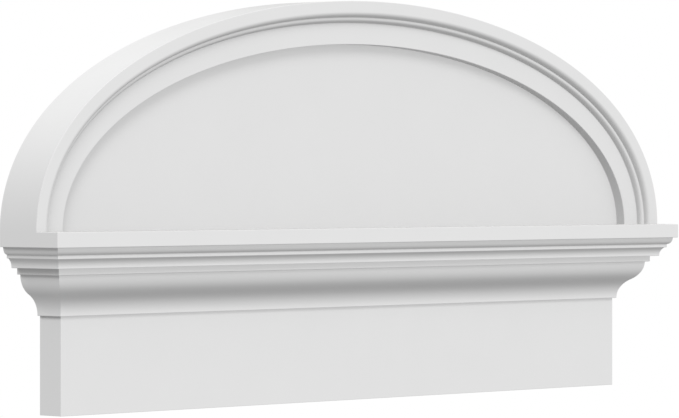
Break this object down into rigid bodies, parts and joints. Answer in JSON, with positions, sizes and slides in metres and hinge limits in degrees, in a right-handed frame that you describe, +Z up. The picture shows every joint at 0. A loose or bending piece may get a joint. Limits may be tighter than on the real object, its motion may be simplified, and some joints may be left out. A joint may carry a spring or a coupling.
{
  "type": "arched pediment",
  "caption": "Moulded crosshead with a half-elliptical arch and flat panel on its ledge, made to be fixed to a wall over a door or window.",
  "frame": {"origin": "the back face of the frieze board, on the centre line and half way up the board, where the pediment lies on the wall", "axes": "+X along the width, to the right for someone facing the pediment; +Y into the wall; +Z up"},
  "size_m": [0.8002, 0.0698, 0.353],
  "materials": {
    "moulding_pvc": "smooth satin white, as milled and sanded",
    "board_pvc": "smooth flat white sheet"
  },
  "bodies": {
    "root": {"frieze_board": "board_pvc", "crown_moulding": "moulding_pvc", "cap_moulding": "moulding_pvc", "arch_moulding": "moulding_pvc", "tympanum_panel": "board_pvc"}
  },
  "joints": []
}
